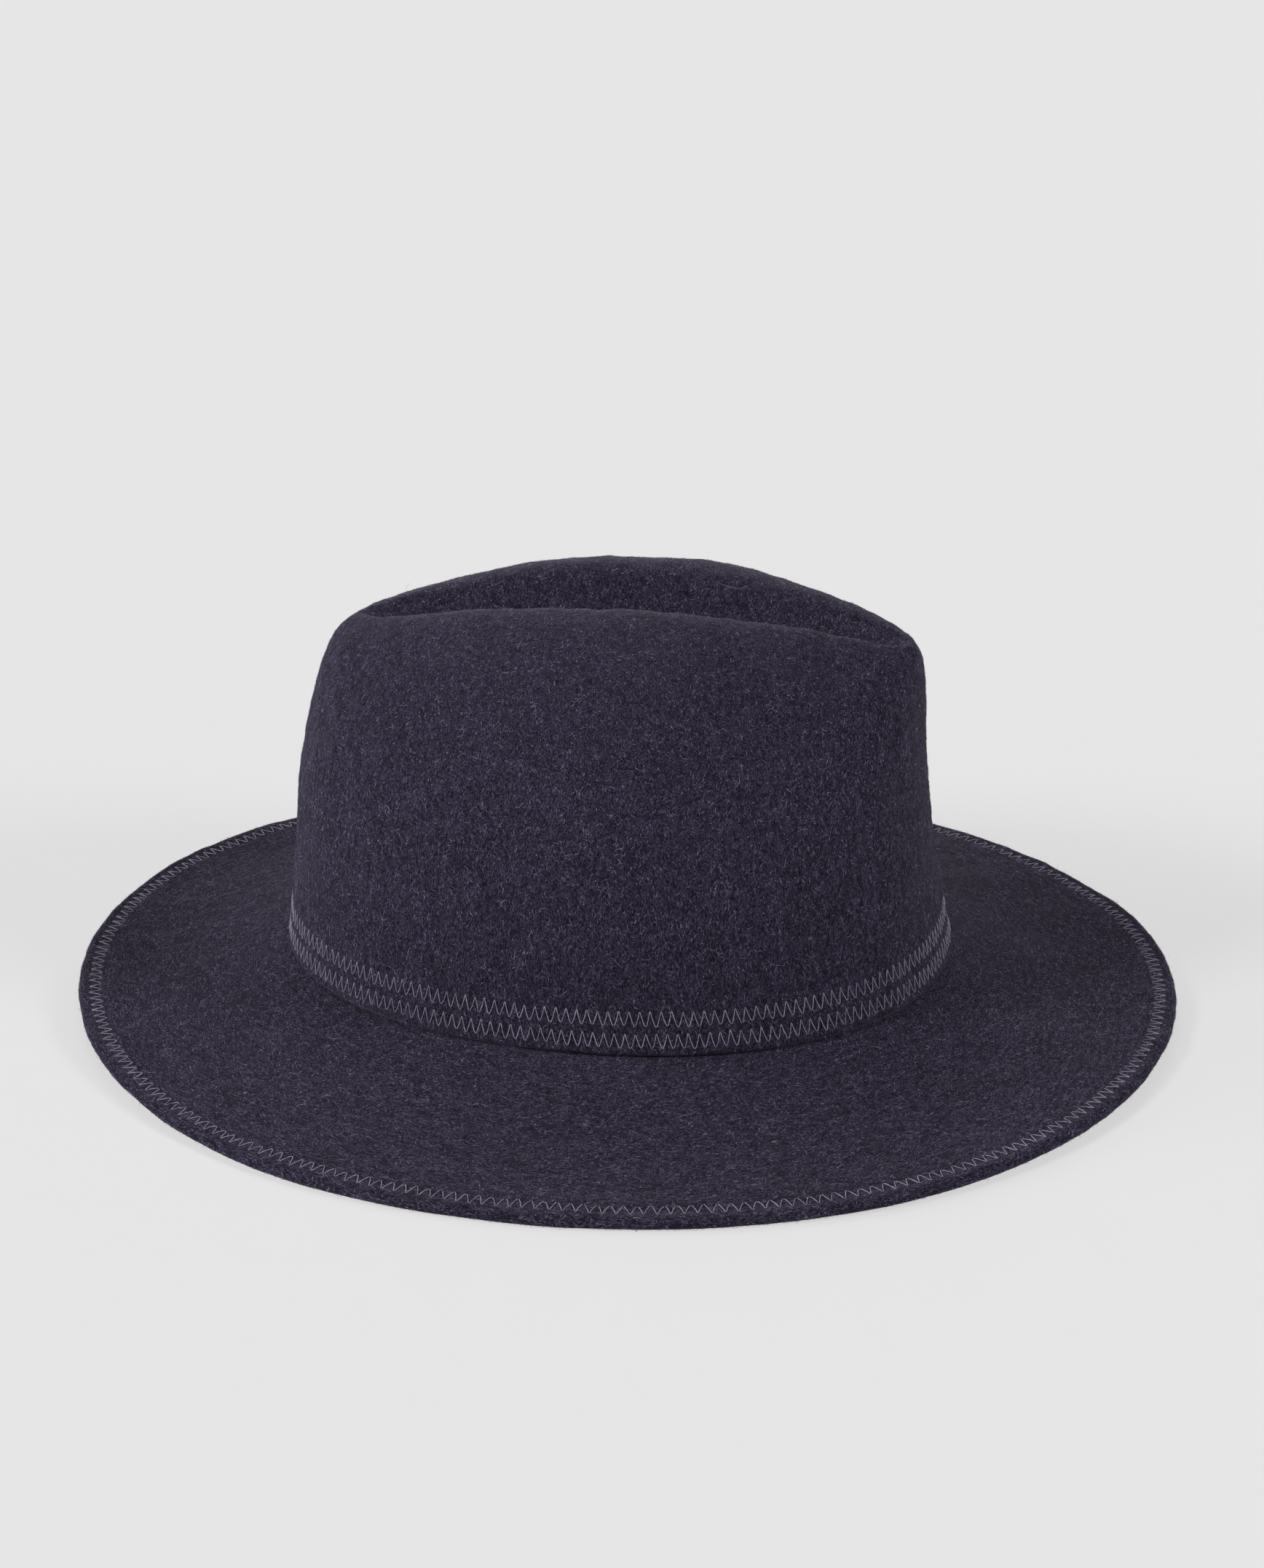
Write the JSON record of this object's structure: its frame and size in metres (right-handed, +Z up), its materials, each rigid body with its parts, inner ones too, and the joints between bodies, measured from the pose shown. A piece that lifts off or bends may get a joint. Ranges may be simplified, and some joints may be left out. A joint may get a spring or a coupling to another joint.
{
  "type": "fedora hat",
  "caption": "Soft felt hat with a creased and pinched crown, an all-round hemmed brim, a leather sweatband and a satin lining.",
  "frame": {"origin": "middle of the brim's outline, on the surface that the brim's edge rests on", "axes": "+Z up, -Y towards the front of the hat, +X towards the wearer's left"},
  "size_m": [0.3232, 0.3529, 0.1396],
  "materials": {
    "felt": "dark violet-grey melange wool felt with a short pale nap",
    "leather": "smooth dark leather, satin",
    "tape": "woven black tape",
    "reed": "translucent milky plastic cord",
    "bow": "black ribbon",
    "satin": "grey-violet satin",
    "piping": "dark satin piping"
  },
  "bodies": {
    "root": {"crown": "felt", "brim": "felt", "sweatband": "leather", "reed_tape": "tape", "reed": "reed", "sweatband_bow": "bow", "lining_side": "satin", "lining_tip": "satin", "lining_piping": "piping"}
  },
  "joints": []
}
